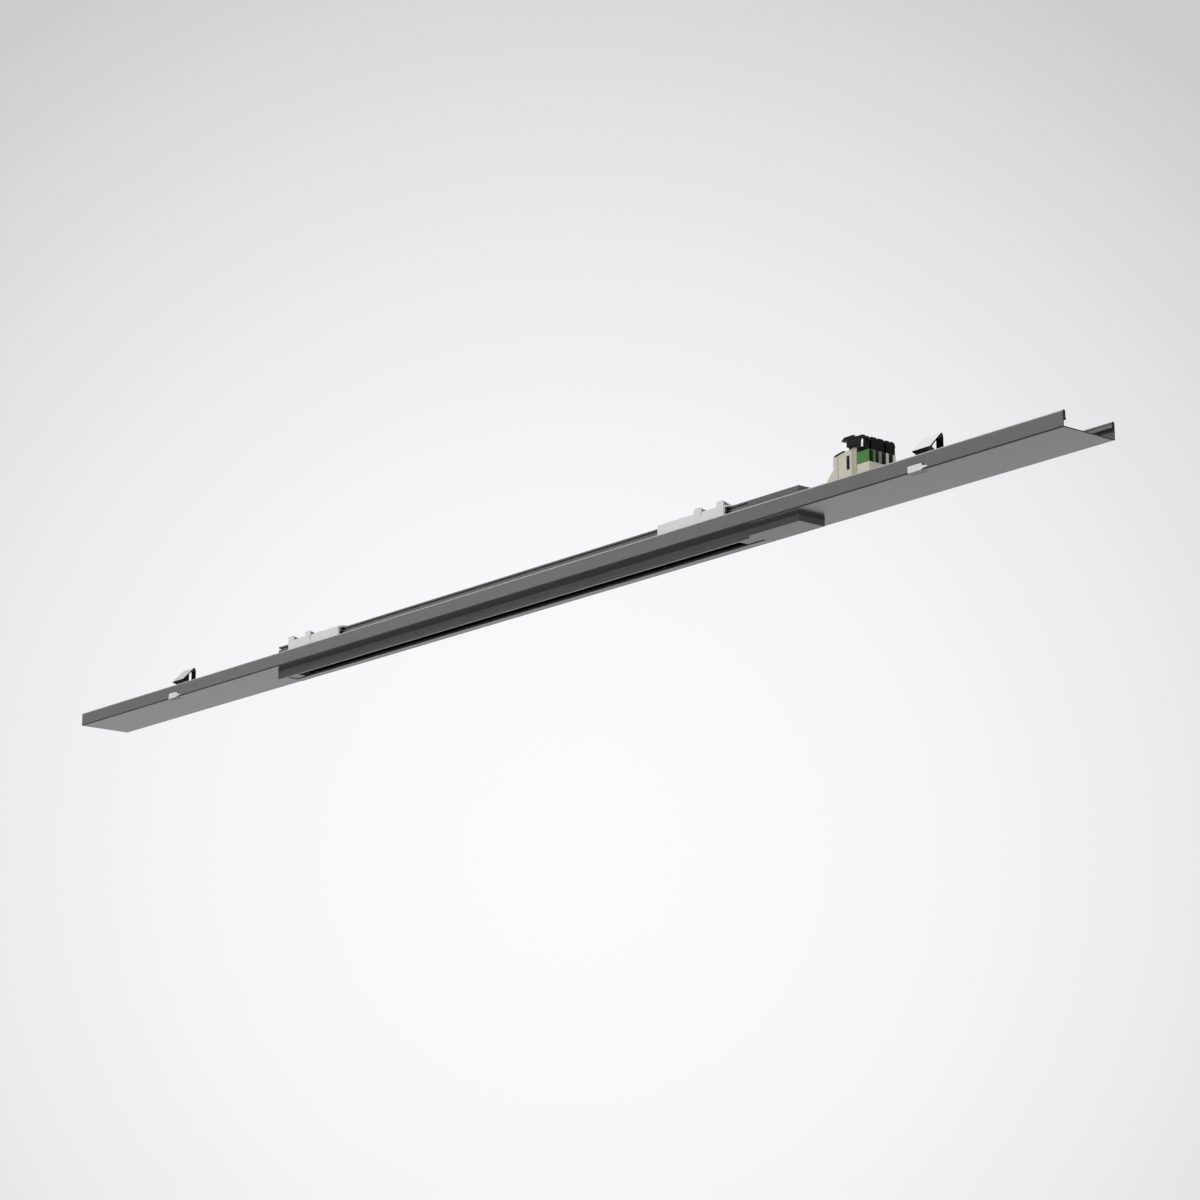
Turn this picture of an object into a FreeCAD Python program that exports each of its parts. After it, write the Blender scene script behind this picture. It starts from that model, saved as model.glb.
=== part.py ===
import FreeCAD, Part
import os
import re
import Sketcher

# A lighting-trunking insert: a folded steel tray with a three-phase track let into its floor.
# X runs along the tray, Y across it, Z up. Z is 0 on the lower edge of the track's coding rib.

DIMENSIONS = {
    # folded tray; its far wall stands a little higher and has a shorter hem
    "tray_length": 1500, "tray_width": 61.2, "tray_height": 14.4, "far_rise": 1.2, "metal": 0.8, "bend": 1.3,
    "hem_width": 3, "hem_drop": 8, "far_drop": 5.6, "hem_flare": 0.8, "flare_height": 2.6,
    # track: how far it stands out below the tray, its place along it and its section
    "proud": 6, "coding_rib": 2.8, "rib_thick": 1.4, "track_start": -372, "track_length": 732.6,
    "track_width": 31, "track_height": 32.4, "wall": 1.6, "lip": 2.2, "mouth": 13.2, "web": 1.6,
    "channel_depth": 9.4, "channel_width": 18, "channel_mouth": 9, "channel_lip": 1.8,
    "groove_drop": 1.7, "groove_height": 1.9, "groove_depth": 2.6, "fit_gap": 0.2, "edge_round": 0.5,
    # insulating strips and their conductors, whose places are shares of the chamber's height
    "strip_thick": 4.6, "conductor_first": 0.17, "conductor_step": 0.385, "conductor_height": 3.4,
    "conductor_thick": 1.2, "conductor_recess": 2.6,
    # end cap on the left, feed housing on the right, each with a tongue in the track's mouth
    "cap_thick": 4.6, "cap_groove": 1.8, "cap_tongue": 17.8, "tongue_room": 2.2, "tongue_rise": 0.3,
    "feed_length": 65.9, "feed_tongue": 22.1, "inlet": 8, "inlet_depth": 16,
    # saddle brackets over the track
    "bracket_middle": -5.8, "bracket_reach": 342.2, "bracket_length": 90.2, "bracket_room": 5.5,
    "bracket_wall": 2, "bracket_drop": 0.2, "bracket_roof": 1.6, "hook_wall": 1.4, "hook_inset": 6,
    "rib_gap": 0.15, "toe": 3.4, "toe_thick": 2, "ear_length": 9.4, "ear_pitch": 30.4, "ear_height": 4.6,
    "leaf_reach": 9.7, "leaf_thick": 1.2, "slit": 0.8, "slit_low": 12, "notch_drop": 2.4,
    # spring clips and the release tabs below them, heights from the tray's underside
    "clip_left": -564.4, "clip_right": 578.4, "clip_length": 21.4, "strip": 0.6, "clip_inset": 18.6,
    "clip_leg": 8, "ridge_height": 33.4, "ridge_flat": 2.6, "nose_inset": 2.6, "nose_height": 19.4,
    "tuck_inset": 8.6, "tuck_height": 17.4, "clip_foot": 8,
    "tab_lead": 3, "tab_length": 16.4, "tab_height": 6, "tab_depth": 7, "tip_length": 7.5, "tip_height": 4.3,
    "tip_point": 1.8, "tip_depth": 2.4,
    # plug on the tray's floor, heights from the tray's underside
    "plug_start": 464, "plug_shoulder": 471.8, "plug_end": 516, "plug_width": 33, "plug_base": 27.5,
    "tower_end": 501.2, "tower_top": 44.4, "column_round": 1.8, "shoulder_low": 29.2, "shoulder_top": 39.8,
    "skirt_height": 21.5, "seam_place": 477.2, "seam": 0.6, "seam_depth": 0.5,
    "key_slot_start": 488.2, "key_slot_width": 3.8, "key_slot_low": 25.6, "key_slot_high": 38,
    "key_slot_depth": 20, "post_thick": 3.2, "post_width": 3, "post_high": 38.4,
    "post_inset": 1.2, "phase_share": 0.235, "phase_wall": 0.8, "phase_notch": 3.4, "notch_length": 12.6,
    # contact carriers across the plug: edges as shares of its width
    "carrier_start": 491.6, "carrier_end": 511, "carrier_top": 51.8, "carrier_step": 502.4,
    "carrier_lift": 2.2, "carrier_out": 2.9, "carrier_1_far": 0.155, "carrier_2_near": 0.2425,
    "carrier_2_far": 0.688, "carrier_3_near": 0.767, "carrier_3_out": 1.7, "cheek_start": 504.8,
    "cheek_low": 40.6, "corner_width": 2.4, "corner_depth": 2, "corner_low": 41.2, "corner_height": 7.3,
    "blade_slot": 2, "blade_depth": 6, "barb_reach": 6.2, "barb_slope": 3.4, "barb_low": 50.8,
    "barb_tip": 0.8, "peg_out": 2, "peg_length": 5, "peg_low": 46.8, "peg_height": 2,
    "latch_length": 12.6, "latch_thick": 2,
}

os.makedirs("parts", exist_ok=True)
doc = FreeCAD.newDocument("lighting_track")
sheet = doc.addObject("Spreadsheet::Sheet", "sizes")
for row, (alias, number) in enumerate(DIMENSIONS.items(), 1):
    sheet.set(f"A{row}", alias)
    sheet.set(f"B{row}", str(number))
    sheet.setAlias(f"B{row}", alias)
doc.recompute()

NORMAL = {"XY_Plane": 1, "XZ_Plane": -1, "YZ_Plane": 1}
pieces = []


def formula(text):
    """The same sum, with each name read from the sheet."""
    return re.sub(r"[a-z]\w*", r"sizes.\g<0>", text)


def size(text):
    return float(sheet.evalExpression(formula(text)))


def new_piece(label):
    body = doc.addObject("PartDesign::Body", label)
    body.Label = label
    pieces.append(body)
    return body


def outline(body, role, points, at):
    """A closed sketch whose corners are sums of the sheet's sizes, on an origin plane moved to `at`."""
    sketch = body.newObject("Sketcher::SketchObject", body.Name + "_outline")
    origin_plane = next(feature for feature in body.Origin.OriginFeatures if feature.Role == role)
    sketch.AttachmentSupport = [(origin_plane, "")]
    sketch.MapMode = "FlatFace"
    sketch.setExpression("AttachmentOffset.Base.z", formula(f"{NORMAL[role]}*({at})"))
    corners = [FreeCAD.Vector(size(across), size(up), 0) for across, up in points]
    for side, corner in enumerate(corners):
        sketch.addGeometry(Part.LineSegment(corner, corners[(side + 1) % len(corners)]))
    for side, (across, up) in enumerate(points):
        sketch.addConstraint(Sketcher.Constraint("Coincident", side, 1, (side - 1) % len(points), 2))
        for kind, text in (("DistanceX", across), ("DistanceY", up)):
            index = sketch.addConstraint(Sketcher.Constraint(kind, -1, 1, side, 1, size(text)))
            sketch.setExpression(f"Constraints[{index}]", formula(text))
    return sketch


def pad(body, role, points, start, end):
    """Material between two places along the sketch plane's axis."""
    sketch = outline(body, role, points, start if NORMAL[role] > 0 else end)
    feature = body.newObject("PartDesign::Pad", body.Name + "_pad")
    feature.Profile = sketch
    feature.setExpression("Length", formula(f"({end}) - ({start})"))
    doc.recompute()
    return feature


def cut(body, role, points, start, end):
    """A pocket between two places along the sketch plane's axis."""
    before = body.Shape.Volume
    sketch = outline(body, role, points, end if NORMAL[role] > 0 else start)
    feature = body.newObject("PartDesign::Pocket", body.Name + "_pocket")
    feature.Profile = sketch
    feature.setExpression("Length", formula(f"({end}) - ({start})"))
    doc.recompute()
    if not body.Shape.Volume < before:
        raise RuntimeError(f"{body.Label}: a pocket cut nothing")
    return feature


def round_edges(body, radius, chosen):
    """A fillet on the edges of the finished shape that `chosen` picks."""
    base = body.Tip
    names = [f"Edge{index}" for index, edge in enumerate(base.Shape.Edges, 1) if chosen(edge)]
    feature = body.newObject("PartDesign::Fillet", body.Name + "_round")
    feature.Base = (base, names)
    feature.setExpression("Radius", formula(radius))
    doc.recompute()
    return feature


def along_x(spots):
    """Picks the edges that run along X through one of the given (y, z) places."""
    places = [(size(across), size(up)) for across, up in spots]

    def chosen(edge):
        box = edge.BoundBox
        thin = box.YLength < 1e-6 and box.ZLength < 1e-6
        return thin and any(abs(box.YMin - y) < 1e-4 and abs(box.ZMin - z) < 1e-4 for y, z in places)
    return chosen


def rectangle(left, right, low, high):
    return [(left, low), (right, low), (right, high), (left, high)]


def mirrored(points):
    return [(f"-({across})", up) for across, up in reversed(points)]


def both_sides(half):
    """A section that is the same on both sides of the middle, from its right half, bottom to top."""
    return half + mirrored(half)


# Heights and places that several pieces share
UNDER = "coding_rib"
SHEET = f"{UNDER} + proud"
FLOOR = f"{SHEET} + metal"
TRAY_TOP = f"{SHEET} + tray_height"
TRACK_TOP = f"{UNDER} + track_height"
CHAMBER_LOW = f"{UNDER} + lip"
CHAMBER_TOP = f"{TRACK_TOP} - channel_depth - web"
GROOVE_HIGH = f"{TRACK_TOP} - groove_drop"
GROOVE_LOW = f"{GROOVE_HIGH} - groove_height"
HALF_TRAY = "tray_width/2"
HALF_TRACK = "track_width/2"
TRACK_END = "track_start + track_length"
FEED_END = f"{TRACK_END} + feed_length"


def above_sheet(height):
    return f"{SHEET} + {height}"


def tray_wall(top, drop):
    """One upright wall of the tray: outside, hem with its flared end, inside."""
    hem = f"{HALF_TRAY} - hem_width"
    low = f"{top} - {drop}"
    return [
        (HALF_TRAY, SHEET), (HALF_TRAY, top), (hem, top), (hem, f"{low} + flare_height"),
        (f"{hem} - hem_flare", low), (f"{hem} - hem_flare + metal", low),
        (f"{hem} + metal", f"{low} + flare_height"), (f"{hem} + metal", f"{top} - metal"),
        (f"{HALF_TRAY} - metal", f"{top} - metal"), (f"{HALF_TRAY} - metal", FLOOR),
    ]


def make_tray():
    tray = new_piece("tray")
    far = tray_wall(f"{TRAY_TOP} + far_rise", "far_drop")
    near = mirrored(tray_wall(TRAY_TOP, "hem_drop"))
    pad(tray, "YZ_Plane", far + near, "-tray_length/2", "tray_length/2")
    outer = far[0:3] + near[-3:]
    inner = far[-3:] + near[0:3]
    for radius, bends in (("bend", outer), ("bend - metal", inner)):
        round_edges(tray, radius, along_x(bends))
    side = f"{HALF_TRACK} + fit_gap"
    opening = rectangle("track_start - cap_thick - fit_gap", f"{FEED_END} + fit_gap", f"-({side})", side)
    cut(tray, "XY_Plane", opening, SHEET, FLOOR)
    for place in ("clip_left", "clip_right"):
        start = f"{place} - tab_lead"
        end = f"{start} + tab_length + fit_gap"
        high = f"{SHEET} + tab_height + fit_gap"
        notch = rectangle(f"{start} - fit_gap", end, SHEET, high)
        cut(tray, "XZ_Plane", notch, f"-{HALF_TRAY}", f"-{HALF_TRAY} + tab_depth + fit_gap")
        point = f"{end} + tip_length"
        tip_notch = [(end, FLOOR), (point, FLOOR), (point, f"{SHEET} + tip_point + fit_gap"), (end, high)]
        cut(tray, "XZ_Plane", tip_notch, f"-{HALF_TRAY}", f"-{HALF_TRAY} + bend")


def track_outside():
    """The track's outer corners from its mouth round the right side to the middle of the top."""
    groove_in = f"{HALF_TRACK} - groove_depth"
    return [
        (HALF_TRACK, UNDER), (HALF_TRACK, GROOVE_LOW), (groove_in, GROOVE_LOW),
        (groove_in, GROOVE_HIGH), (HALF_TRACK, GROOVE_HIGH), (HALF_TRACK, TRACK_TOP),
    ]


def add_coding_rib(body, start, end):
    """The rib along the near edge of the underside that keeps adapters from going in the wrong way round."""
    rib = rectangle(f"-{HALF_TRACK}", f"-{HALF_TRACK} + rib_thick", "0", UNDER)
    pad(body, "YZ_Plane", rib, start, end)


def make_track():
    track = new_piece("track_profile")
    chamber = f"{HALF_TRACK} - wall"
    lip_low = f"{TRACK_TOP} - channel_lip"
    right_outside = [("mouth/2", UNDER)] + track_outside() + [
        ("channel_mouth/2", TRACK_TOP), ("channel_mouth/2", lip_low), ("channel_width/2", lip_low),
        ("channel_width/2", f"{CHAMBER_TOP} + web"),
    ]
    inside = [("mouth/2", CHAMBER_LOW), (chamber, CHAMBER_LOW), (chamber, CHAMBER_TOP)]
    left_inside = [(f"-({across})", up) for across, up in inside]
    section = both_sides(right_outside) + left_inside + inside[::-1]
    pad(track, "YZ_Plane", section, "track_start", TRACK_END)
    round_edges(track, "edge_round", along_x(both_sides([(HALF_TRACK, TRACK_TOP)]) + [(HALF_TRACK, UNDER)]))
    add_coding_rib(track, "track_start", TRACK_END)


def make_strips():
    outer = f"{HALF_TRACK} - wall"
    inner = f"{outer} - strip_thick"
    bed = f"{inner} + conductor_recess"
    clear = f"{CHAMBER_TOP} - ({CHAMBER_LOW})"
    for name, sign in (("near", -1), ("far", 1)):
        strip = new_piece(f"insulating_strip_{name}")
        section = [(outer, CHAMBER_LOW), (outer, CHAMBER_TOP), (inner, CHAMBER_TOP)]
        beds = []
        for number in (1, 0):
            low = f"{CHAMBER_LOW} + ({clear})*(conductor_first + {number}*conductor_step)"
            high = f"{low} + conductor_height"
            section += [(inner, high), (bed, high), (bed, low), (inner, low)]
            beds.append((low, high))
        section.append((inner, CHAMBER_LOW))
        section = [(f"{sign}*({across})", up) for across, up in section]
        pad(strip, "YZ_Plane", section, "track_start", TRACK_END)
        for label, (low, high) in zip(("upper", "lower"), beds):
            conductor = new_piece(f"conductor_{name}_{label}")
            face = rectangle(f"{sign}*({bed})", f"{sign}*({bed} - conductor_thick)", low, high)
            pad(conductor, "YZ_Plane", face, "track_start", TRACK_END)


def add_spigot(body, block_span, tongue_span):
    """The block between the insulating strips and, below it, the tongue in the track's mouth."""
    room = f"{HALF_TRACK} - wall - strip_thick - fit_gap"
    block = rectangle(f"-({room})", room, CHAMBER_LOW, f"{CHAMBER_TOP} - fit_gap")
    pad(body, "YZ_Plane", block, *block_span)
    tongue = rectangle("-mouth/2 + fit_gap", "mouth/2 - tongue_room", f"{UNDER} + tongue_rise", CHAMBER_LOW)
    pad(body, "YZ_Plane", tongue, *tongue_span)


def make_end_cap():
    cap = new_piece("end_cap")
    pad(cap, "YZ_Plane", both_sides(track_outside()), "track_start - cap_thick", "track_start")
    add_coding_rib(cap, "track_start - cap_thick", "track_start")
    inner_end = "track_start + cap_tongue"
    add_spigot(cap, ("track_start", inner_end), ("track_start + cap_groove", inner_end))


def make_feed():
    feed = new_piece("feed_housing")
    block = rectangle(f"-{HALF_TRACK}", HALF_TRACK, UNDER, TRACK_TOP)
    pad(feed, "YZ_Plane", block, TRACK_END, FEED_END)
    corners = both_sides([(HALF_TRACK, UNDER), (HALF_TRACK, TRACK_TOP)])
    round_edges(feed, "edge_round", along_x(corners))
    reach = (f"{TRACK_END} - feed_tongue", TRACK_END)
    add_spigot(feed, reach, reach)
    inlet = rectangle("-inlet/2", "inlet/2", f"{FLOOR} + inlet/2", f"{FLOOR} + inlet*3/2")
    cut(feed, "YZ_Plane", inlet, f"{FEED_END} - inlet_depth", FEED_END)


def make_brackets():
    """One moulding used twice, turned round for the right end; its two walls have different slits."""
    snug = f"{HALF_TRACK} + fit_gap"
    inside = f"{HALF_TRACK} + bracket_room"
    outside = f"{inside} + bracket_wall"
    wall_top = f"{TRACK_TOP} - bracket_drop"
    roof = f"{TRACK_TOP} + bracket_roof"
    toe_high = f"{FLOOR} + toe_thick"
    shell = both_sides([
        (inside, FLOOR), (f"{outside} + toe", FLOOR), (f"{outside} + toe", toe_high), (outside, toe_high),
        (outside, wall_top), (snug, roof),
    ])
    seat = [(inside, f"{wall_top} - bracket_roof"), (snug, TRACK_TOP)]
    section = shell + [(f"-({across})", up) for across, up in seat] + seat[::-1]
    rib = f"{HALF_TRACK} - groove_depth + rib_gap"
    rib_low = f"{GROOVE_LOW} + rib_gap"
    rib_high = f"{GROOVE_HIGH} - rib_gap"
    hook_out = f"{snug} + hook_wall"
    in_roof = f"{TRACK_TOP} + bracket_roof/2"
    hook = [
        (hook_out, rib_low), (hook_out, in_roof), (snug, in_roof), (snug, rib_high), (rib, rib_high),
        (rib, rib_low),
    ]
    ear_top = f"{wall_top} + ear_height"
    leaf_end = f"{outside} - leaf_reach"
    ear_inside = f"{outside} - leaf_thick"
    ear = [
        (outside, wall_top), (outside, ear_top), (leaf_end, roof), (f"{snug} - leaf_thick", in_roof),
        (snug, roof), (ear_inside, f"{ear_top} - leaf_thick"), (ear_inside, wall_top),
    ]
    for name, sign in (("left", -1), ("right", 1)):
        bracket = new_piece(f"bracket_{name}")
        outer_end = f"bracket_middle + {sign}*bracket_reach"

        def span(from_end, length):
            near = f"{outer_end} - {sign}*({from_end})"
            far = f"{outer_end} - {sign}*({from_end} + {length})"
            return (far, near) if sign > 0 else (near, far)

        pad(bracket, "YZ_Plane", section, *span("0", "bracket_length"))
        for side in (-1, 1):
            hook_here = [(f"{side}*({across})", up) for across, up in hook]
            pad(bracket, "YZ_Plane", hook_here, *span("hook_inset", "bracket_length - 2*hook_inset"))
            ear_here = [(f"{side}*({across})", up) for across, up in ear]
            for place in ("0", "ear_pitch"):
                pad(bracket, "YZ_Plane", ear_here, *span(place, "ear_length"))
        for side in (-1, 1):
            if side == sign:
                place, low = "ear_pitch + ear_length", above_sheet("slit_low")
            else:
                place, low = "ear_pitch - slit", f"{wall_top} - notch_drop"
            wall_span = (inside, outside) if side > 0 else (f"-({outside})", f"-({inside})")
            cut(bracket, "XZ_Plane", rectangle(*span(place, "slit"), low, roof), *wall_span)


def make_clips():
    foot_high = f"{FLOOR} + strip"
    ridge = above_sheet("ridge_height")
    nose = above_sheet("nose_height")
    tuck = above_sheet("tuck_height")
    back = f"clip_inset - {HALF_TRAY}"
    nose_out = f"nose_inset - {HALF_TRAY}"
    tuck_in = f"tuck_inset - {HALF_TRAY}"
    strip_section = [
        (f"{back} - clip_foot", FLOOR), (back, FLOOR), (back, f"{ridge} - ridge_flat"),
        (f"{back} - ridge_flat/2", ridge), (f"{back} - ridge_flat", ridge),
        (nose_out, nose), (nose_out, f"{nose} - strip"), (tuck_in, f"{tuck} - strip"),
        (tuck_in, tuck), (f"{nose_out} + 3*strip", f"{nose} - strip/2"),
        (f"{back} - ridge_flat", f"{ridge} - 3/2*strip"), (f"{back} - ridge_flat/2", f"{ridge} - 3/2*strip"),
        (f"{back} - strip", f"{ridge} - ridge_flat - strip"), (f"{back} - strip", foot_high),
        (f"{back} - clip_foot", foot_high),
    ]
    for name in ("left", "right"):
        start = f"clip_{name}"
        end = f"{start} + clip_length"
        clip = new_piece(f"spring_clip_{name}")
        pad(clip, "YZ_Plane", strip_section, start, end)
        window_top = f"{ridge} - ridge_flat - strip"
        window = rectangle(f"{start} + clip_leg", f"{end} - clip_leg", f"{foot_high} + strip", window_top)
        cut(clip, "XZ_Plane", window, f"{back} - strip", back)
        make_tab(f"release_tab_{name}", f"{start} - tab_lead")


def make_tab(label, start):
    """A block through the tray's lower edge with a pointed tip that shows in the wall beside it."""
    tab = new_piece(label)
    end = f"{start} + tab_length"
    block = rectangle(start, end, SHEET, f"{SHEET} + tab_height")
    pad(tab, "XZ_Plane", block, f"-{HALF_TRAY}", f"-{HALF_TRAY} + tab_depth")
    tip = [
        (end, f"{FLOOR} + fit_gap"), (f"{end} + tip_length", f"{SHEET} + tip_point"),
        (end, f"{SHEET} + tip_height"),
    ]
    pad(tab, "XZ_Plane", tip, f"-{HALF_TRAY}", f"-{HALF_TRAY} + tip_depth")


def make_plug():
    half = "plug_width/2"
    base = above_sheet("plug_base")
    shoulder = above_sheet("shoulder_top")
    tower = above_sheet("tower_top")
    rise = "(tower_top - shoulder_top)/(tower_end - plug_shoulder)"
    seat = f"{shoulder} + (carrier_start - plug_shoulder)*{rise}"
    posts_high = above_sheet("post_high")
    make_plug_housing(half, base, shoulder, tower, posts_high)

    phase = new_piece("plug_phase_block")
    block = rectangle("tower_end", "plug_end", base, posts_high)
    pad(phase, "XZ_Plane", block, f"-{half}", f"-{half} + phase_share*plug_width")
    notch = rectangle("plug_end - notch_length", "plug_end", base, posts_high)
    cut(phase, "XZ_Plane", notch, f"-{half} + phase_wall", f"-{half} + phase_wall + phase_notch")

    make_carriers(half, base, tower, posts_high, seat)

    latch = new_piece("plug_latch")
    lever = [
        ("plug_shoulder", shoulder), ("plug_shoulder + latch_length", f"{shoulder} + latch_length*{rise}"),
        ("plug_shoulder + latch_length", f"{shoulder} + latch_length*{rise} + latch_thick"),
        ("plug_shoulder + latch_thick", f"{shoulder} + latch_thick"),
    ]
    pad(latch, "XZ_Plane", lever, f"-{half}", half)


def make_carriers(half, base, tower, posts_high, seat):
    top = above_sheet("carrier_top")
    lifted = f"{top} + carrier_lift"
    barb_low = above_sheet("barb_low")
    barb_end = "carrier_start - barb_reach"
    crown = [
        ("carrier_end", top), ("carrier_step", top), ("carrier_step - carrier_lift", lifted),
        (f"{barb_end} + barb_slope", lifted), (barb_end, f"{barb_low} + barb_tip"), (barb_end, barb_low),
        ("carrier_start", barb_low),
    ]
    outer = f"-{half} - carrier_out"
    far_side = f"{half} + carrier_3_out"
    reaches = (
        (f"-{half}", f"-{half} + carrier_1_far*plug_width", posts_high),
        (f"-{half} + carrier_2_near*plug_width", f"-{half} + carrier_2_far*plug_width", base),
        (f"-{half} + carrier_3_near*plug_width", far_side, base),
    )
    carriers = []
    for number, (near, far, low) in enumerate(reaches, 1):
        carrier = new_piece(f"plug_contact_carrier_{number}")
        foot = [("carrier_start", seat), ("tower_end", tower), ("tower_end", low), ("carrier_end", low)]
        pad(carrier, "XZ_Plane", foot + crown, near, far)
        middle = f"(({near}) + ({far}))/2"
        slot_low = f"{top} - blade_depth"
        slot = rectangle(f"{middle} - blade_slot/2", f"{middle} + blade_slot/2", slot_low, lifted)
        cut(carrier, "YZ_Plane", slot, barb_end, "carrier_end")
        carriers.append(carrier)

    # the first overhangs the housing, reaches into the phase block and has an open corner for its contact;
    # the last has a peg
    cheek_low = above_sheet("cheek_low")
    cheek = [
        ("carrier_start", tower), ("cheek_start", tower), ("cheek_start", cheek_low),
        ("carrier_end", cheek_low),
    ]
    pad(carriers[0], "XZ_Plane", cheek + crown, outer, f"-{half}")
    leg = rectangle("plug_end - notch_length + fit_gap", "carrier_end", base, posts_high)
    leg_near = f"-{half} + phase_wall + fit_gap"
    pad(carriers[0], "XZ_Plane", leg, leg_near, f"{leg_near} + phase_notch - 2*fit_gap")
    corner_low = above_sheet("corner_low")
    corner_high = f"{corner_low} + corner_height"
    corner = rectangle("carrier_end - corner_width", "carrier_end", corner_low, corner_high)
    cut(carriers[0], "XZ_Plane", corner, outer, f"{outer} + corner_depth")
    peg_low = above_sheet("peg_low")
    peg = rectangle("carrier_end - peg_length", "carrier_end", peg_low, f"{peg_low} + peg_height")
    pad(carriers[2], "XZ_Plane", peg, far_side, f"{far_side} + peg_out")


def make_plug_housing(half, base, shoulder, tower, posts_high):
    housing = new_piece("plug_housing")
    profile = [
        ("plug_start", FLOOR), ("plug_end", FLOOR), ("plug_end", base), ("tower_end", base),
        ("tower_end", tower), ("plug_shoulder", shoulder), ("plug_shoulder", above_sheet("shoulder_low")),
        ("plug_start", above_sheet("skirt_height")),
    ]
    pad(housing, "XZ_Plane", profile, f"-{half}", half)
    column, height, near_face = size("tower_end"), size(tower), size(f"-{half}")

    def on_column(edge):
        box = edge.BoundBox
        upright = box.XLength < 1e-6 and box.YLength < 1e-6 and abs(box.YMin - near_face) < 1e-4
        across = box.XLength < 1e-6 and box.ZLength < 1e-6 and abs(box.ZMin - height) < 1e-4
        return abs(box.XMin - column) < 1e-4 and (upright or across)
    round_edges(housing, "column_round", on_column)
    key_slot = rectangle(
        "key_slot_start", "key_slot_start + key_slot_width",
        above_sheet("key_slot_low"), above_sheet("key_slot_high")
    )
    cut(housing, "XZ_Plane", key_slot, f"-{half}", f"-{half} + key_slot_depth")
    seam = rectangle("seam_place", "seam_place + seam", FLOOR, tower)
    cut(housing, "XZ_Plane", seam, f"-{half}", f"-{half} + seam_depth")
    post = rectangle("plug_end - post_thick", "plug_end", base, posts_high)
    for number in range(3):
        far = f"{half} - post_inset - {number}*(1 - phase_share)*plug_width/3"
        pad(housing, "XZ_Plane", post, f"{far} - post_width", far)


make_tray()
make_track()
make_strips()
make_end_cap()
make_feed()
make_brackets()
make_clips()
make_plug()

doc.recompute()
for thing in doc.Objects:
    if "Invalid" in thing.State or "Error" in thing.State:
        raise RuntimeError(f"{thing.Name}: {thing.State}")
for piece in pieces:
    if piece.Shape.isNull() or not piece.Shape.isValid():
        raise RuntimeError(f"{piece.Label}: no valid shape")
for piece in pieces:
    piece.Shape.exportStep(f"parts/{piece.Label}.step")
    print(piece.Label, len(piece.Shape.Solids), round(piece.Shape.Volume, 1))
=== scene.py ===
import math

import bpy
import numpy as np
from mathutils import Matrix, Vector


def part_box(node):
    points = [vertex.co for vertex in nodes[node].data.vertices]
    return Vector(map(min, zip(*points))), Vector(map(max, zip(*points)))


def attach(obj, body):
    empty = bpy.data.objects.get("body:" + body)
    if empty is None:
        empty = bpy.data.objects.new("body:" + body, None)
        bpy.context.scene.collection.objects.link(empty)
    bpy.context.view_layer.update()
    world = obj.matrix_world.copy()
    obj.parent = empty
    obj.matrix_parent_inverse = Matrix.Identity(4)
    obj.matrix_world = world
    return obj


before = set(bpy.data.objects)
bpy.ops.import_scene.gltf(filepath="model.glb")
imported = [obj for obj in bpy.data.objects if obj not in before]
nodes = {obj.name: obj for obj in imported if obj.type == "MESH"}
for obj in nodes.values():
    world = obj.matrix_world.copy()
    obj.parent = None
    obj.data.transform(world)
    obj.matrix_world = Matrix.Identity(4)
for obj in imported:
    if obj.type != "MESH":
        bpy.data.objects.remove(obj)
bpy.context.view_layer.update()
scene = bpy.context.scene
print("stage 1: frame loaded,", len(nodes), "nodes")


def addNode(tree, kind, **values):
    node = tree.nodes.new(kind)
    for key, value in values.items():
        node.inputs[key].default_value = value
    return node


def mapRange(tree, source, span, values):
    step = tree.nodes.new("ShaderNodeMapRange")
    for key, value in zip(("From Min", "From Max", "To Min", "To Max"), span + values):
        step.inputs[key].default_value = value
    tree.links.new(source, step.inputs["Value"])
    return step.outputs["Result"]


def product(tree, first, second):
    step = tree.nodes.new("ShaderNodeMath")
    step.operation = "MULTIPLY"
    tree.links.new(first, step.inputs[0])
    tree.links.new(second, step.inputs[1])
    return step.outputs["Value"]


# how far a direction points along a fixed way
def pointing(tree, direction, way):
    step = tree.nodes.new("ShaderNodeVectorMath")
    step.operation = "DOT_PRODUCT"
    step.inputs[1].default_value = way
    tree.links.new(direction, step.inputs[0])
    return step.outputs["Value"]


def splitAxes(tree, source):
    step = tree.nodes.new("ShaderNodeSeparateXYZ")
    tree.links.new(source, step.inputs["Vector"])
    return step.outputs


def either(tree, chooser, first, second):
    mix = tree.nodes.new("ShaderNodeMixShader")
    tree.links.new(chooser, mix.inputs["Fac"])
    tree.links.new(first, mix.inputs[1])
    tree.links.new(second, mix.inputs[2])
    return mix.outputs["Shader"]


# A finish is a tone that varies in soft patches, a fine grain in the surface, an uneven gloss and edges
# rubbed a little lighter. All scales are in metres of the object. A painted shade darkens the faces that
# point in one of its ways, such as sheared edges and bends, and less so the shorter that way's vector is. A
# painted highlight lightens the rounded edges that point its way, from one place across the object outwards.
texture = dict(patchDetail=3.0, patchRoughness=0.6, patchSpan=(0.3, 0.7), grainDetail=2.0, grainRoughness=0.5,
               grainSpan=(0.3, 0.7), roundSamples=4, rubSpan=(0.99, 0.75))


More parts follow.
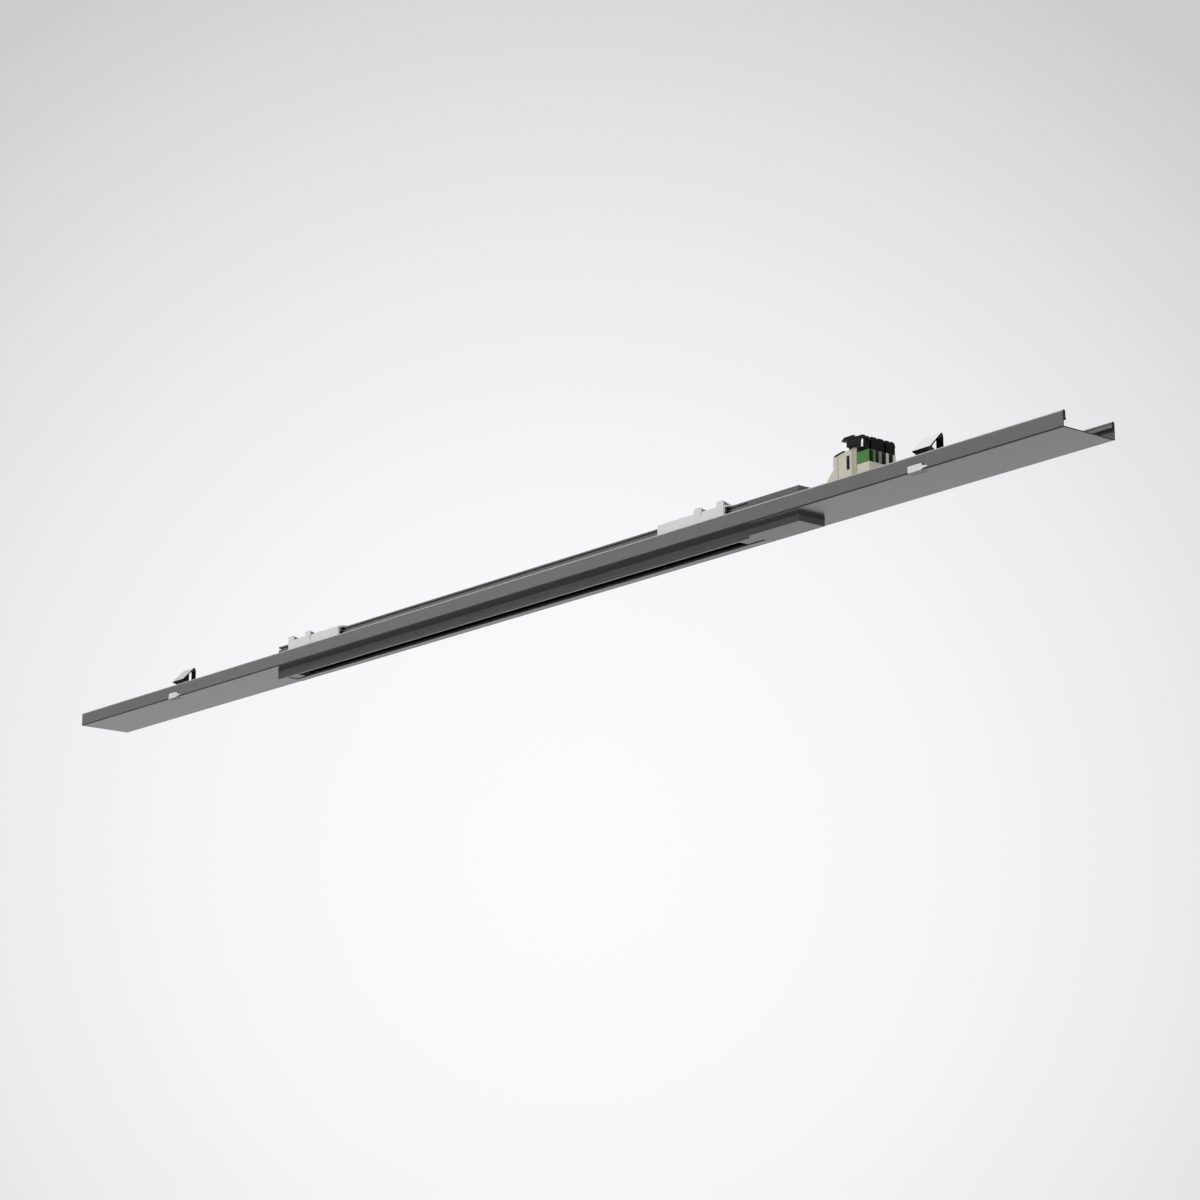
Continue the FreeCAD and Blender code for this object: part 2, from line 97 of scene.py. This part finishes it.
def makeFinish(name, look):
    material = bpy.data.materials.new(name)
    material.use_nodes = True
    tree = material.node_tree
    tree.nodes.clear()
    join = tree.links.new

    def blend(chooser, first, colour):
        mix = tree.nodes.new("ShaderNodeMix")
        mix.data_type = "RGBA"
        mix.inputs["B"].default_value = list(colour) + [1]
        join(chooser, mix.inputs["Factor"])
        join(first, mix.inputs["A"])
        return mix.outputs["Result"]

    place = tree.nodes.new("ShaderNodeTexCoord").outputs["Object"]
    laid = addNode(tree, "ShaderNodeMapping", Scale=look["lay"])
    join(place, laid.inputs["Vector"])

    patches = addNode(tree, "ShaderNodeTexNoise", Scale=1 / look["patch"], Detail=texture["patchDetail"],
                      Roughness=texture["patchRoughness"])
    join(place, patches.inputs["Vector"])
    tone = tree.nodes.new("ShaderNodeValToRGB")
    strengths = (1 - look["uneven"], 1 + look["uneven"])
    for stop, position, strength in zip(tone.color_ramp.elements, texture["patchSpan"], strengths):
        stop.position = position
        stop.color = [c * strength for c in look["tone"]] + [1]
    join(patches.outputs["Fac"], tone.inputs["Fac"])

    grain = addNode(tree, "ShaderNodeTexNoise", Scale=1 / look["grain"], Detail=texture["grainDetail"],
                    Roughness=texture["grainRoughness"])
    join(laid.outputs["Vector"], grain.inputs["Vector"])

    rounded = addNode(tree, "ShaderNodeBevel", Radius=look["edge"])
    rounded.samples = texture["roundSamples"]
    relief = addNode(tree, "ShaderNodeBump", Strength=1.0, Distance=look["depth"])
    join(grain.outputs["Fac"], relief.inputs["Height"])
    join(rounded.outputs["Normal"], relief.inputs["Normal"])

    flat = tree.nodes.new("ShaderNodeNewGeometry")
    turn = tree.nodes.new("ShaderNodeVectorMath")
    turn.operation = "DOT_PRODUCT"
    join(rounded.outputs["Normal"], turn.inputs[0])
    join(flat.outputs["Normal"], turn.inputs[1])
    rub = mapRange(tree, turn.outputs["Value"], texture["rubSpan"], (0, look["wear"]))
    colour = blend(product(tree, rub, patches.outputs["Fac"]), tone.outputs["Color"], look["bare"])

    for side, normal in (("paintedHighlight", rounded.outputs["Normal"]), ("paintedShade", flat.outputs["Normal"])):
        paintedLight = look.get(side, dict(ways=()))
        for way in paintedLight["ways"]:
            share = mapRange(tree, pointing(tree, normal, way), paintedLight["span"], (0, 1))
            if "across" in paintedLight:
                outward = mapRange(tree, splitAxes(tree, place)["Y"], paintedLight["across"], (0, 1))
                share = product(tree, share, outward)
            colour = blend(share, colour, paintedLight["tone"])

    surface = addNode(tree, "ShaderNodeBsdfPrincipled", Metallic=look["metal"], IOR=look["ior"])
    gloss = mapRange(tree, grain.outputs["Fac"], texture["grainSpan"], look["gloss"])
    join(colour, surface.inputs["Base Color"])
    join(gloss, surface.inputs["Roughness"])
    join(relief.outputs["Normal"], surface.inputs["Normal"])
    out = tree.nodes.new("ShaderNodeOutputMaterial")
    join(surface.outputs["BSDF"], out.inputs["Surface"])
    return material


plain = dict(lay=(1, 1, 1), metal=0.0, ior=1.5)
trayPaint = dict(plain, tone=(0.142, 0.142, 0.144), uneven=0.03, patch=0.04, grain=0.0011, depth=0.000003,
                 edge=0.0012, wear=0.2, bare=(0.3, 0.3, 0.3), gloss=(0.2, 0.28),
                 # the near rim's rounded top edge is lightened: a painted highlight
                 paintedHighlight=dict(ways=((0, -0.75, 0.66),), span=(0.75, 0.97), across=(-0.028, -0.029),
                            tone=(0.42, 0.42, 0.42)),
                 # the sheared ends and the near lower bend of the tray are darkened: painted shade
                 paintedShade=dict(ways=((1, 0, 0), (-1, 0, 0), (0, -0.64, -0.64)), span=(0.8, 0.95),
                           tone=(0.006, 0.006, 0.006)))
trackCoat = dict(plain, tone=(0.13, 0.13, 0.132), uneven=0.04, patch=0.03, lay=(0.01, 1, 1), grain=0.0005,
                 depth=0.000002, edge=0.0003, wear=0.1, bare=(0.2, 0.2, 0.2), gloss=(0.2, 0.3))
insulatorBlack = dict(plain, tone=(0.015, 0.015, 0.016), uneven=0.1, patch=0.02, lay=(0.02, 1, 1),
                      grain=0.0006, depth=0.000008, edge=0.0003, wear=0.1, bare=(0.05, 0.05, 0.05),
                      gloss=(0.4, 0.55))
bareCopper = dict(plain, tone=(0.3, 0.17, 0.11), uneven=0.08, patch=0.015, lay=(0.01, 1, 1), grain=0.0004,
                  depth=0.000006, edge=0.0002, wear=0.3, bare=(0.5, 0.3, 0.2), gloss=(0.26, 0.4), metal=1.0)
greyMoulding = dict(plain, tone=(0.118, 0.118, 0.12), uneven=0.03, patch=0.02, grain=0.00035,
                    depth=0.000003, edge=0.0004, wear=0.25, bare=(0.25, 0.25, 0.25), gloss=(0.24, 0.32))
lightMoulding = dict(plain, tone=(0.62, 0.62, 0.62), uneven=0.02, patch=0.02, grain=0.0004,
                     depth=0.000002, edge=0.0004, wear=0.2, bare=(0.75, 0.75, 0.75), gloss=(0.42, 0.47))
springSteel = dict(plain, tone=(0.8, 0.8, 0.8), uneven=0.04, patch=0.01, lay=(1, 0.02, 0.02), grain=0.0015,
                   depth=0.0000005, edge=0.0002, wear=0.3, bare=(0.95, 0.95, 0.95), gloss=(0.19, 0.23),
                   metal=1.0,
                   # the clips' near, downward and right-end faces are darkened almost to black: painted shade
                   paintedShade=dict(ways=((0, -0.94, 0), (0, 0, -1), (1, 0, 0)), span=(0.86, 0.93),
                             tone=(0.02, 0.02, 0.02)))
creamMoulding = dict(plain, tone=(0.52, 0.5, 0.42), uneven=0.03, patch=0.012, grain=0.0004,
                     depth=0.000008, edge=0.0004, wear=0.2, bare=(0.68, 0.66, 0.58), gloss=(0.38, 0.5))
# the column's cream is the plug's cream made darker and yellower: painted shade
shadedColumnCream = dict(creamMoulding, tone=(0.35, 0.33, 0.25), uneven=0.05, patch=0.006)
greenMoulding = dict(plain, tone=(0.046, 0.176, 0.036), uneven=0.05, patch=0.01, grain=0.0004,
                     depth=0.000008, edge=0.0003, wear=0.2, bare=(0.12, 0.3, 0.1), gloss=(0.36, 0.48))
blackMoulding = dict(plain, tone=(0.009, 0.009, 0.0085), uneven=0.08, patch=0.012, grain=0.0004,
                     depth=0.000008, edge=0.0003, wear=0.2, bare=(0.08, 0.08, 0.08), gloss=(0.34, 0.48),
                     ior=1.3)
oliveMoulding = dict(greenMoulding, tone=(0.155, 0.2, 0.12), patch=0.004, bare=(0.3, 0.35, 0.25))
tinnedBlade = dict(plain, tone=(0.86, 0.86, 0.85), uneven=0.04, patch=0.003, lay=(1, 1, 0.05), grain=0.0003,
                   depth=0.000003, edge=0.0001, wear=0.2, bare=(0.95, 0.95, 0.95), gloss=(0.4, 0.5),
                   metal=0.1)

# each finish with the nodes that wear it; those with none are worn by the small pieces below
finishes = {
    "trayPaint": (trayPaint, ["tray"]),
    "trackCoat": (trackCoat, ["track_profile"]),
    "insulatorBlack": (insulatorBlack, ["insulating_strip_near", "insulating_strip_far"]),
    "bareCopper": (bareCopper, [n for n in nodes if n.startswith("conductor")]),
    "greyMoulding": (greyMoulding, ["end_cap", "feed_housing"]),
    "lightMoulding": (lightMoulding, ["bracket_left", "bracket_right", "release_tab_left",
                                      "release_tab_right"]),
    "springSteel": (springSteel, ["spring_clip_left", "spring_clip_right"]),
    "creamMoulding": (creamMoulding, ["plug_housing"]),
    "shadedColumnCream": (shadedColumnCream, []),
    "greenMoulding": (greenMoulding, ["plug_phase_block"]),
    "blackMoulding": (blackMoulding, [n for n in nodes if n.startswith("plug_contact") or n == "plug_latch"]),
    "oliveMoulding": (oliveMoulding, []),
    "tinnedBlade": (tinnedBlade, []),
}
coats = {}
for name, (look, wearers) in finishes.items():
    coats[name] = makeFinish(name, look)
    for wearer in wearers:
        worn = nodes[wearer].data.materials
        worn.clear()
        worn.append(coats[name])
print("stage 2: finishes on", sum(len(wearers) for _, wearers in finishes.values()), "nodes")


# A sheet is a grid of points, rows first, joined by four-sided faces and given a thickness inward.
def makeSheet(name, points, coat, thickness=0.0003):
    rows, columns = points.shape[:2]
    first = (np.arange(rows - 1)[:, None] * columns + np.arange(columns - 1)).ravel()
    faces = np.stack([first, first + 1, first + columns + 1, first + columns], axis=1)
    mesh = bpy.data.meshes.new(name)
    mesh.from_pydata(points.reshape(-1, 3).tolist(), [], faces.tolist())
    mesh.polygons.foreach_set("use_smooth", np.ones(len(faces), dtype=bool))
    mesh.materials.append(coats[coat])
    piece = bpy.data.objects.new(name, mesh)
    scene.collection.objects.link(piece)
    wall = piece.modifiers.new("wall", "SOLIDIFY")
    wall.thickness = thickness
    wall.offset = -1
    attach(piece, "root")


# the middle of a span and half its length
def halves(span):
    return (span[0] + span[1]) / 2, (span[1] - span[0]) / 2


# A pillow is a flat rectangle that swells towards its middle: at u and v, both from -1 to 1, the point
# is the middle plus u half-widths and v half-heights, raised by swell (1 - u^4) (1 - v^4).
pillowPoints = (13, 21)


def pillow(middle, halfWidth, halfHeight, swell):
    u, v = np.meshgrid(*(np.linspace(-1, 1, count) for count in pillowPoints))
    out = np.cross(halfWidth, halfHeight)
    rise = swell * (1 - u ** 4) * (1 - v ** 4)
    return (np.array(middle) + u[..., None] * np.array(halfWidth) + v[..., None] * np.array(halfHeight)
            + rise[..., None] * out / np.linalg.norm(out))


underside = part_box("tray")[0][2]
plugLow, plugHigh = (np.array(corner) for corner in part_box("plug_housing"))

# the plug's key slot is closed by a black plate just inside its mouth: painted shade of the deep slot
keySlotShade = dict(along=(0.0242, 0.028), heights=(0.0256, 0.038), inset=0.0004, swell=0.0003)
middle, halfWidth = halves(keySlotShade["along"])
height, halfHeight = halves(keySlotShade["heights"])
makeSheet("plug_key_slot_shade", pillow(
    (plugLow[0] + middle, plugLow[1] + keySlotShade["inset"], underside + height),
    (halfWidth, 0, 0), (0, 0, halfHeight), keySlotShade["swell"]), "blackMoulding")

# black sheets stand between the posts of the plug's end, and one over the phase block's notch: partly the
# black of the carrier legs behind, brought to the front, partly painted shade in the gaps
legBlackAndShade = dict(spans=((0.0001, 0.0044), (0.0078, 0.0119), (0.0151, 0.0203), (0.0235, 0.0287)),
                heights=(0.0276, 0.0383), insets=(-0.0002, 0.0008, 0.0008, 0.0008), swell=0.0003)
height, halfHeight = halves(legBlackAndShade["heights"])
for number, (span, inset) in enumerate(zip(legBlackAndShade["spans"], legBlackAndShade["insets"]), 1):
    middle, halfWidth = halves(span)
    makeSheet("plug_shutter_%d" % number, pillow(
        (plugHigh[0] - inset, plugLow[1] + middle, underside + height),
        (0, halfWidth, 0), (0, 0, halfHeight), legBlackAndShade["swell"]), "blackMoulding")

# the post beside the phase block has an olive green cover
postCover = dict(span=(0.0121, 0.0149), heights=(0.0276, 0.0383), swell=0.0003)
middle, halfWidth = halves(postCover["span"])
height, halfHeight = halves(postCover["heights"])
makeSheet("plug_post_cover", pillow(
    (plugHigh[0] + postCover["swell"] / 2, plugLow[1] + middle, underside + height),
    (0, halfWidth, 0), (0, 0, halfHeight), postCover["swell"]), "oliveMoulding")

# a tinned contact blade shows in the open corner of the first carrier, leaning a little
blade = dict(fromEnd=0.0011, fromFace=-0.0022, heights=(0.0413, 0.0484), halfWidth=0.0011, lean=0.0001,
             swell=0.0001)
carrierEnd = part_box("plug_contact_carrier_1")[1][0]
height, halfHeight = halves(blade["heights"])
makeSheet("plug_contact_blade", pillow(
    (carrierEnd - blade["fromEnd"], plugLow[1] + blade["fromFace"], underside + height),
    (blade["halfWidth"], 0, 0), (blade["lean"], 0, halfHeight), blade["swell"]),
    "tinnedBlade")

# A bead is half an ellipse carried upward: at angle a across and share t of its height it stands off the
# face by bulge cos(a) sqrt(1 - t^10), and sideways from its middle by half its width times sin(a).
beadPoints = dict(across=25, up=41)


def bead(middle, face, halfWidth, bulge, low, high):
    angle, share = np.meshgrid(np.linspace(-math.pi / 2, math.pi / 2, beadPoints["across"]),
                               np.linspace(0, 1, beadPoints["up"]))
    return np.stack([middle + halfWidth * np.sin(angle),
                     face - bulge * np.cos(angle) * np.sqrt(1 - share ** 10),
                     low + (high - low) * share], axis=2)


# a half-round column on the plug's near face, up to the top of the tower, in a darker, yellower cream that is
# painted shade
column = dict(along=(0.0305, 0.0372), bulge=0.0009, low=0.012)
middle, halfWidth = halves(column["along"])
makeSheet("plug_column", bead(
    plugLow[0] + middle, plugLow[1], halfWidth, column["bulge"], underside + column["low"], plugHigh[2]),
    "shadedColumnCream")

# Ribs are a wave: at share u across the face the sheet stands off it by depth (1 - cos(2 pi count u)) / 2,
# the same at all heights.
ribPoints = dict(perRib=8, up=9)


def ribs(face, across, heights, depth, count):
    u, v = np.meshgrid(np.linspace(0, 1, ribPoints["perRib"] * count + 1), np.linspace(0, 1, ribPoints["up"]))
    return np.stack([face + depth * (1 - np.cos(2 * math.pi * count * u)) / 2,
                     across[0] + (across[1] - across[0]) * u,
                     heights[0] + (heights[1] - heights[0]) * v], axis=2)


# upright ribs on the ends of the second and third contact carriers
carrierRibs = dict(edge=0.0006, heights=(0.0392, 0.0508), depth=0.0006, pitch=0.0018)
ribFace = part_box("plug_contact_carrier_2")[1][0]
ribHeights = [underside + z for z in carrierRibs["heights"]]
for number in (2, 3):
    low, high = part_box("plug_contact_carrier_%d" % number)
    across = (low[1] + carrierRibs["edge"], high[1] - carrierRibs["edge"])
    count = round((across[1] - across[0]) / carrierRibs["pitch"])
    makeSheet("plug_carrier_ribs_%d" % number, ribs(
        ribFace, across, ribHeights, carrierRibs["depth"], count), "blackMoulding")
print("stage 3: small pieces of the plug made")


# a line towards the far side, turned to the left and then raised
def lineOfSight(turn, rise):
    return Vector((-math.sin(turn) * math.cos(rise), math.cos(turn) * math.cos(rise), math.sin(rise)))


# the camera stands low and to the right of the near side and looks up at the underside
camera = dict(azimuth=50.369, rise=14.066, lens=98.106, sensor=36, sees=200,
              place=(2.4293448, -1.8990374, -0.7559805))
azimuth = math.radians(camera["azimuth"])
right = Vector((math.cos(azimuth), math.sin(azimuth), 0))
ahead = lineOfSight(azimuth, math.radians(camera["rise"]))
above = right.cross(ahead)
eye = bpy.data.cameras.new("eye")
eye.lens = camera["lens"]
eye.sensor_width = camera["sensor"]
eye.clip_end = camera["sees"]
eyeObject = bpy.data.objects.new("eye", eye)
stand = Matrix((right, above, -ahead)).transposed().to_4x4()
stand.translation = camera["place"]
eyeObject.matrix_world = stand
scene.collection.objects.link(eyeObject)
scene.camera = eyeObject
print("stage 4: camera set")


# the surroundings: a pale backdrop that falls off evenly from a brightest spot; what the object mirrors
# is bright above and behind it, dark on the near side, to the right and below
around = dict(tint=(1.0, 1.0, 1.02), spotTurn=50.8, spotRise=9.70, rimCosine=0.9553, backdrop=(0.6, 0.965),
              shine=0.93, leftward=(0.6, -0.1), leftShare=(0.04, 1), farward=(-0.15, 0.75),
              farShare=(0.03, 1.3), upward=(-0.6, -0.34), upShare=(0.03, 1), overhead=(0.3, 0.65),
              overShare=(1, 1.75), ambientFrom=(-0.3, 0.7), ambient=(0.22, 0.1))
world = bpy.data.worlds.new("surroundings")
scene.world = world
world.use_nodes = True
sky = world.node_tree
sky.nodes.clear()


def glow(strength):
    light = addNode(sky, "ShaderNodeBackground", Color=list(around["tint"]) + [1])
    sky.links.new(strength, light.inputs["Strength"])
    return light.outputs["Background"]


sight = sky.nodes.new("ShaderNodeTexCoord").outputs["Generated"]
sides = splitAxes(sky, sight)
spotLine = lineOfSight(math.radians(around["spotTurn"]), math.radians(around["spotRise"]))
seen = mapRange(sky, pointing(sky, sight, spotLine), (around["rimCosine"], 1), around["backdrop"])
leftGlow = tuple(around["shine"] * value for value in around["leftShare"])
fromLeft = mapRange(sky, sides["X"], around["leftward"], leftGlow)
fromFar = mapRange(sky, sides["Y"], around["farward"], around["farShare"])
fromAbove = mapRange(sky, sides["Z"], around["upward"], around["upShare"])
fromOverhead = mapRange(sky, sides["Z"], around["overhead"], around["overShare"])
mirrored = product(sky, product(sky, fromLeft, fromFar), product(sky, fromAbove, fromOverhead))
spread = mapRange(sky, sides["X"], around["ambientFrom"], around["ambient"])
ray = sky.nodes.new("ShaderNodeLightPath").outputs
unseen = either(sky, ray["Is Glossy Ray"], glow(spread), glow(mirrored))
worldOut = sky.nodes.new("ShaderNodeOutputWorld")
sky.links.new(either(sky, ray["Is Camera Ray"], unseen, glow(seen)), worldOut.inputs["Surface"])


# a pale round floor well below the object
floor = dict(level=-1.4, reach=3.0, corners=96, tone=(0.62, 0.62, 0.625), dim=(0.06, 0.06, 0.06))
spokes = np.linspace(0, 2 * math.pi, floor["corners"], endpoint=False)
rim = np.stack([floor["reach"] * np.cos(spokes), floor["reach"] * np.sin(spokes),
                np.full_like(spokes, floor["level"])], axis=1)
floorMesh = bpy.data.meshes.new("floor")
floorMesh.from_pydata(rim.tolist(), [], [list(range(floor["corners"]))])
floorObject = bpy.data.objects.new("floor", floorMesh)
scene.collection.objects.link(floorObject)
floorPaint = bpy.data.materials.new("floorPaint")
floorPaint.use_nodes = True
ground = floorPaint.node_tree
ground.nodes.clear()
pale = addNode(ground, "ShaderNodeEmission", Color=list(floor["tone"]) + [1])
matt = addNode(ground, "ShaderNodeBsdfDiffuse", Color=list(floor["dim"]) + [1])
ray = ground.nodes.new("ShaderNodeLightPath").outputs
shown = either(ground, ray["Is Camera Ray"], matt.outputs["BSDF"], pale.outputs["Emission"])
floorOut = ground.nodes.new("ShaderNodeOutputMaterial")
ground.links.new(shown, floorOut.inputs["Surface"])
floorMesh.materials.append(floorPaint)


# broad soft lamps that point at the object: four on the near side, one of them low, one behind the far
# side and two off the right end
lamps = {
    "nearLeftLamp": dict(place=(-1.4, -3.4, 3.3), size=1.6, power=122),
    "nearRightLamp": dict(place=(1.5, -3.6, 2.9), size=1.6, power=38),
    "lowNearLamp": dict(place=(-0.3, -4.2, -0.5), size=1.6, power=72),
    "leftLamp": dict(place=(-4.1, -3.05, 1.2), size=1.6, power=2.6),
    "farLamp": dict(place=(-1.6, 4.2, 3.0), size=2.4, power=60),
    "rightLamp": dict(place=(3.4, 0.3, 2.0), size=1.2, power=62, mirrored=False),
    "lowRightLamp": dict(place=(3.6, -0.5, -0.35), size=1.2, power=34),
}
for name, lamp in lamps.items():
    light = bpy.data.lights.new(name, "AREA")
    light.shape = "DISK"
    light.size = lamp["size"]
    light.energy = lamp["power"]
    lightObject = bpy.data.objects.new(name, light)
    lightObject.visible_camera = False
    lightObject.visible_glossy = lamp.get("mirrored", True)
    lightObject.location = lamp["place"]
    lightObject.rotation_euler = Vector(lamp["place"]).to_track_quat("Z", "Y").to_euler()
    scene.collection.objects.link(lightObject)
scene.view_settings.view_transform = "Standard"
print("stage 5: surroundings, floor and lamps set")
